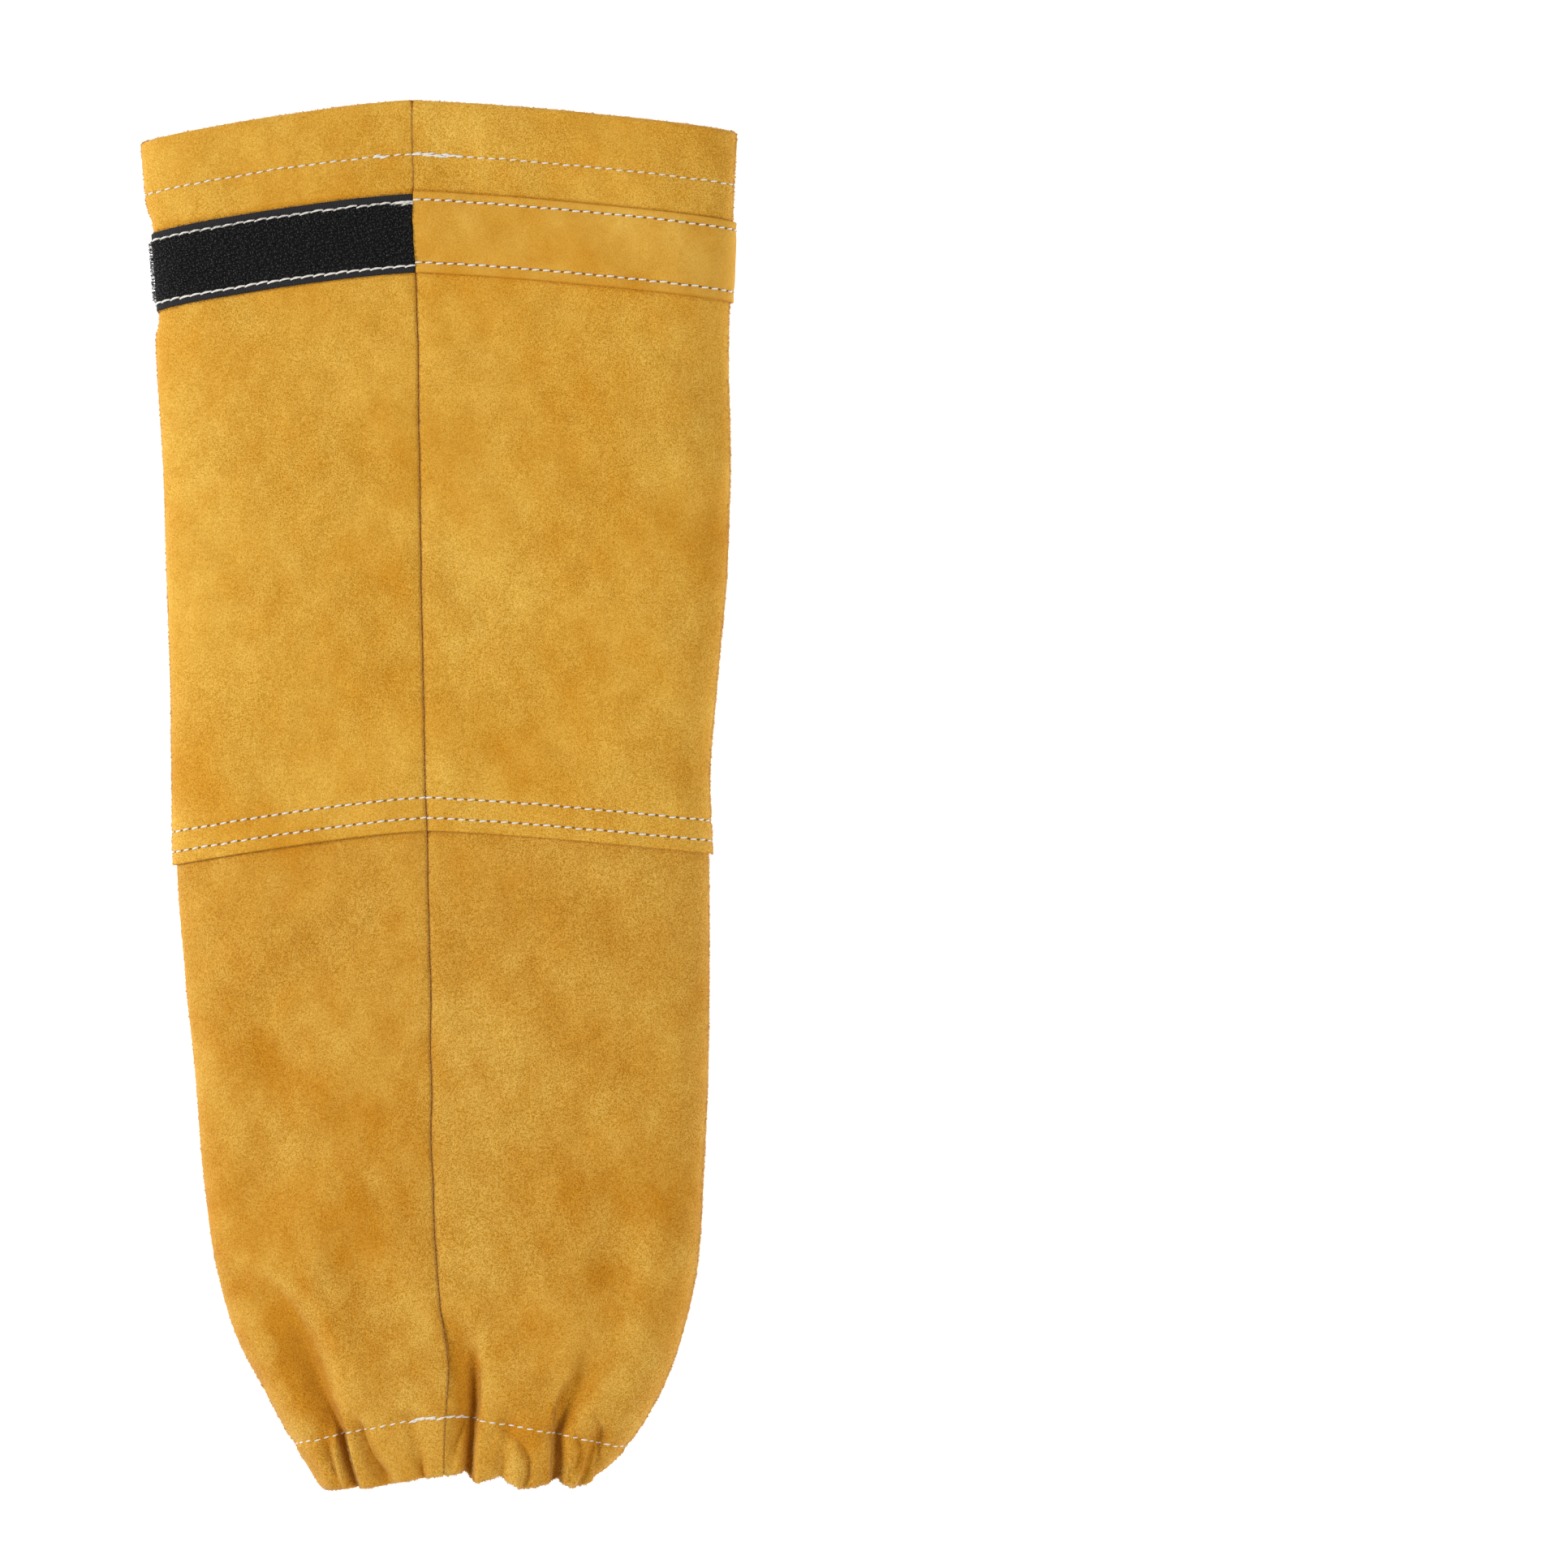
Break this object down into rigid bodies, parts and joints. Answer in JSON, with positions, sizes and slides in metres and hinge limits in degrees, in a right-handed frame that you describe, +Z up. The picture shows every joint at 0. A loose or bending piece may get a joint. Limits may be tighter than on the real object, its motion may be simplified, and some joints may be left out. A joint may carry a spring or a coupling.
{
  "type": "welding sleeve",
  "caption": "Leather arm sleeve lying flat: open tube with a front seam, hook tape and band near the top, lapped panels and a gathered wrist.",
  "frame": {"origin": "middle of the sleeve's outline on the surface that it lies on", "axes": "+Y along the sleeve towards the upper-arm end, +X across it towards the leather band, +Z up, out of the seam side"},
  "size_m": [0.2308, 0.5349, 0.0286],
  "materials": {
    "split_leather": "matt split leather with a short golden yellow nap",
    "band_leather": "matt split leather, smoother and slightly paler",
    "hook_tape": "black woven nylon tape with raised hooks and plain edges",
    "elastic": "off-white woven elastic, hidden inside the cuff"
  },
  "bodies": {
    "root": {"upper_panel": "split_leather", "lower_panel": "split_leather", "leather_band": "band_leather", "hook_tape": "hook_tape", "cuff_elastic": "elastic"}
  },
  "joints": []
}
